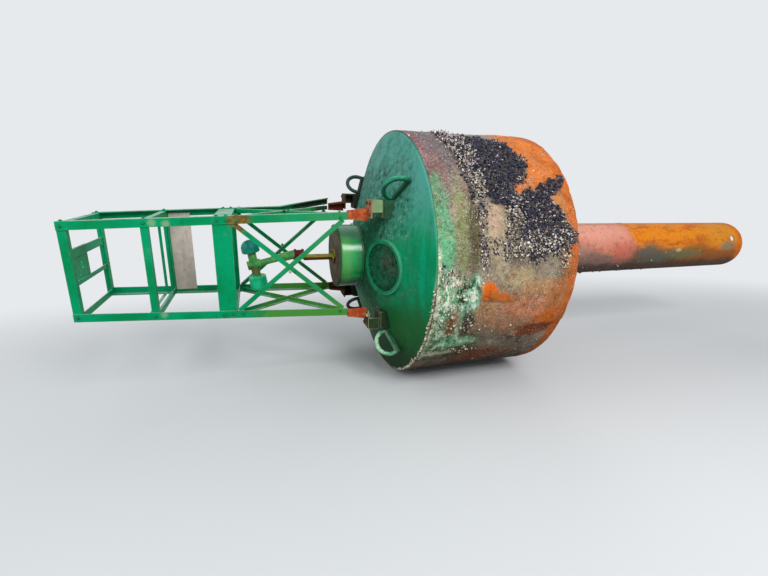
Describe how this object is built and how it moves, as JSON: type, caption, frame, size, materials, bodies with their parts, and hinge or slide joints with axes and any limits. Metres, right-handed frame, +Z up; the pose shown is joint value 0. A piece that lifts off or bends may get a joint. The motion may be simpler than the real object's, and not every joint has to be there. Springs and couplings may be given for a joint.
{
  "type": "steel sounding buoy with lattice tower",
  "caption": "Steel navigation buoy lying on its side: drum hull with conical top, square lattice tower with whistle, lifting bails and a long open tail tube.",
  "frame": {"origin": "middle of the bounding box, at the ground under the hull", "axes": "+X along the buoy's axis towards the tail tube, +Z up, -Y towards the side the picture shows"},
  "size_m": [7.914, 2.4378, 2.4525],
  "materials": {
    "hull_fouled": "antifouling paint worn to rust, with mussels, barnacles and algae",
    "head_green": "gloss green paint, mottled with algae",
    "bottom_rust": "rusted antifouling paint",
    "collar_green": "gloss green paint",
    "cover_grey": "dull grey, dirty",
    "tail_paint": "pink and orange paint with rust and algae",
    "tower_green": "satin green paint with chipped edges",
    "brace_green": "satin green paint with chipped edges",
    "stub_rust": "bare rusting steel",
    "foot_green": "faded pale green paint",
    "board_bare": "weathered plain board",
    "bail_green": "green paint rubbed pale",
    "pocket_green": "green paint",
    "pocket_dark": "dark algae on green paint",
    "riser_pipe": "worn yellow-brown pipe",
    "valve_red": "red-brown casting",
    "whistle_green": "gloss green paint",
    "lug_rust": "rusty steel"
  },
  "bodies": {
    "root": {"hull": "hull_fouled", "top_head": "head_green", "bottom_head": "bottom_rust", "collar": "collar_green", "collar_cover": "cover_grey", "tail_tube": "tail_paint", "leg_near_top": "tower_green", "leg_near_bottom": "tower_green", "leg_far_top": "tower_green", "leg_far_bottom": "tower_green", "end_frame": "tower_green", "middle_frame": "tower_green", "wide_frame": "tower_green", "stay_bars": "tower_green", "upper_crossbar": "tower_green", "lower_crossbar": "tower_green", "lantern_plate": "tower_green", "brace_near": "brace_green", "brace_far": "brace_green", "brace_top": "brace_green", "brace_bottom": "brace_green", "stub_near_top": "stub_rust", "stub_near_bottom": "stub_rust", "stub_far_top": "stub_rust", "stub_far_bottom": "stub_rust", "foot_near_top": "foot_green", "foot_near_bottom": "foot_green", "foot_far_top": "foot_green", "foot_far_bottom": "foot_green", "number_board": "board_bare", "bail_near_top": "bail_green", "bail_near_bottom": "bail_green", "bail_far_top": "bail_green", "bail_far_bottom": "bail_green", "pocket_near": "pocket_green", "pocket_far": "pocket_green", "pocket_cover_near": "pocket_dark", "pocket_cover_far": "pocket_dark", "riser": "riser_pipe", "valve": "valve_red", "whistle_arm": "whistle_green", "cross_pipe": "whistle_green", "upper_whistle": "whistle_green", "lower_whistle": "whistle_green", "mooring_lugs": "lug_rust"}
  },
  "joints": []
}
